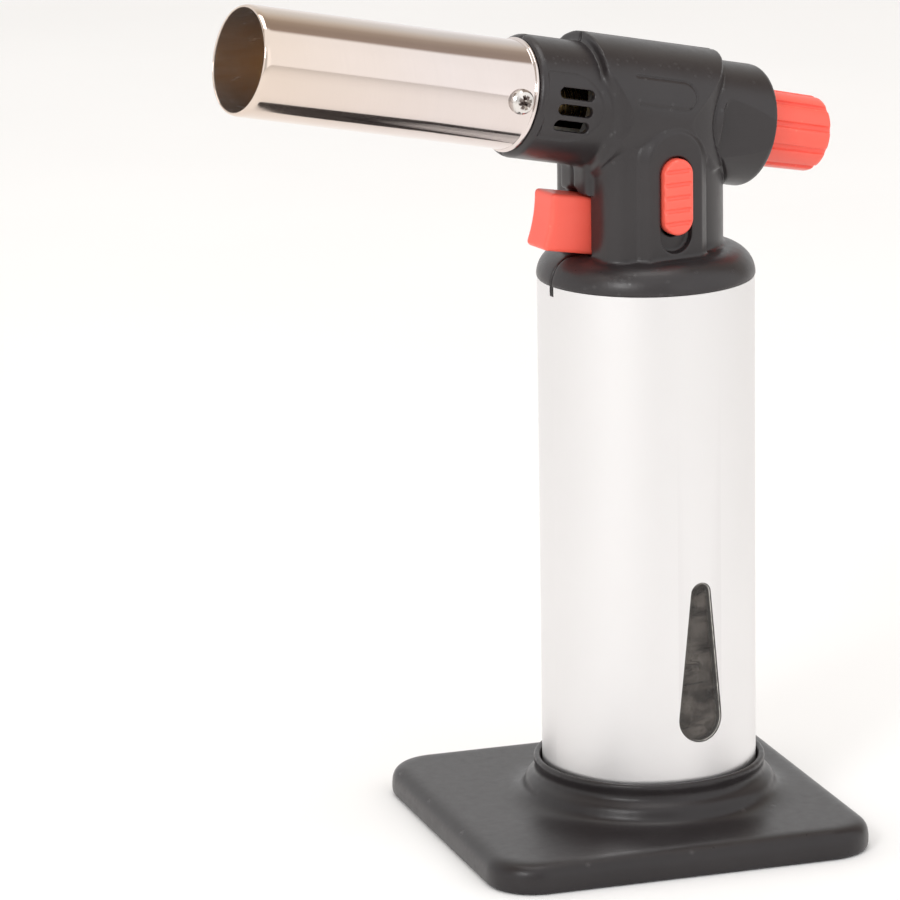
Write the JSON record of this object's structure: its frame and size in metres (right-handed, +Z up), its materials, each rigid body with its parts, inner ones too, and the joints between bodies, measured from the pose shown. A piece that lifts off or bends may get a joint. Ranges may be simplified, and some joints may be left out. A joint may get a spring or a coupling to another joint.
{
  "type": "butane torch",
  "caption": "Upright hand torch: gas canister in a satin skin with level window, moulded clamshell head with tilted flame tube, pull trigger, sliding lock, flame knob, and push-on square stand.",
  "frame": {"origin": "on the gas canister axis, at the plane the stand rests on", "axes": "+Z up along the canister, +X forwards the way the flame tube points (horizontal part), +Y the torch's left side, which carries the sliding lock and the level window"},
  "size_m": [0.1523, 0.1046, 0.2029],
  "materials": {
    "black_plastic": "fine-textured moulded black-brown plastic",
    "black_screw": "black-zinc plated steel",
    "brass": "turned brass",
    "ceramic": "unglazed white ceramic",
    "coral_plastic": "moulded coral-red plastic, satin",
    "hose_rubber": "black fuel hose",
    "lead_sleeve": "red silicone sleeve",
    "rubber": "black nitrile rubber",
    "satin_aluminium": "satin silver lacquered aluminium skin",
    "screw_steel": "nickel-plated steel",
    "smoke_lens": "smoky clear acrylic, glossy",
    "stainless": "polished stainless steel tube",
    "stand_plastic": "fine-textured moulded charcoal plastic, satin",
    "steel": "bright steel",
    "tank_plastic": "smoky nylon tank, moulded",
    "wick_fibre": "pressed cotton fibre",
    "zinc_cast": "die-cast zinc alloy"
  },
  "bodies": {
    "torch": {"left_housing": "black_plastic", "right_housing": "black_plastic", "housing_screws": "black_screw", "nozzle_tube": "stainless", "nozzle_screws": "screw_steel", "burner_carrier": "zinc_cast", "mixing_tube": "brass", "flame_holder": "brass", "electrode_insulator": "ceramic", "spark_electrode": "steel", "needle_valve_body": "brass", "spindle_oring": "rubber", "gas_jet": "brass", "piezo_case": "black_plastic", "piezo_spring": "steel", "spark_lead": "lead_sleeve", "tank_lid": "tank_plastic", "valve_body": "brass", "valve_seal": "rubber", "valve_spring": "steel", "fuel_wick": "wick_fibre", "valve_bracket": "steel", "lever_pin": "steel", "gas_hose": "hose_rubber", "canister_skin": "satin_aluminium", "level_window": "smoke_lens", "fuel_tank": "tank_plastic", "bottom_cap": "black_plastic", "fill_valve_body": "brass", "fill_valve_seal": "rubber", "fill_valve_spring": "steel"},
    "trigger_group": {"trigger": "coral_plastic", "piezo_plunger": "black_plastic"},
    "lever_group": {"valve_lever": "zinc_cast"},
    "stem_group": {"valve_stem": "brass"},
    "lock_group": {"lock_button": "coral_plastic", "lock_catch": "black_plastic"},
    "knob_group": {"flame_knob": "coral_plastic", "knob_spindle": "brass"},
    "stand_group": {"stand": "stand_plastic", "stand_feet": "rubber"},
    "fill_group": {"fill_valve_stem": "brass"}
  },
  "joints": [
    {"name": "trigger_pull", "type": "slide", "parent": "torch", "child": "trigger_group", "axis": [-0.9816, 0, -0.1908], "range_m": [0, 0.0045], "stiffness_N_per_m": 1200, "springref_m": -0.002},
    {"name": "lever_tilt", "type": "hinge", "parent": "torch", "child": "lever_group", "pos_m": [0.002, 0, 0.1339], "axis": [0, -1, 0], "range_deg": [0, 26.5]},
    {"name": "stem_press", "type": "slide", "parent": "torch", "child": "stem_group", "axis": [0, 0, -1], "range_m": [0, 0.0013], "deforming": ["valve_spring"]},
    {"name": "lock_slide", "type": "slide", "parent": "torch", "child": "lock_group", "axis": [0, 0, -1], "range_m": [0, 0.004]},
    {"name": "knob_turn", "type": "hinge", "parent": "torch", "child": "knob_group", "pos_m": [-0.0293, 0, 0.16191], "axis": [0.9767, 0, 0.2147], "range_deg": [0, 270]},
    {"name": "stand_pull", "type": "slide", "parent": "torch", "child": "stand_group", "axis": [0, 0, -1], "range_m": [0, 0.012]},
    {"name": "fill_press", "type": "slide", "parent": "torch", "child": "fill_group", "axis": [0, 0, 1], "range_m": [0, 0.0015], "stiffness_N_per_m": 600, "springref_m": -0.001, "deforming": ["fill_valve_spring"]}
  ],
  "couplings": [
    {"joint": "lever_tilt", "follows": "trigger_pull", "rad_per_m": 100},
    {"joint": "stem_press", "follows": "trigger_pull", "ratio": 0.27}
  ]
}
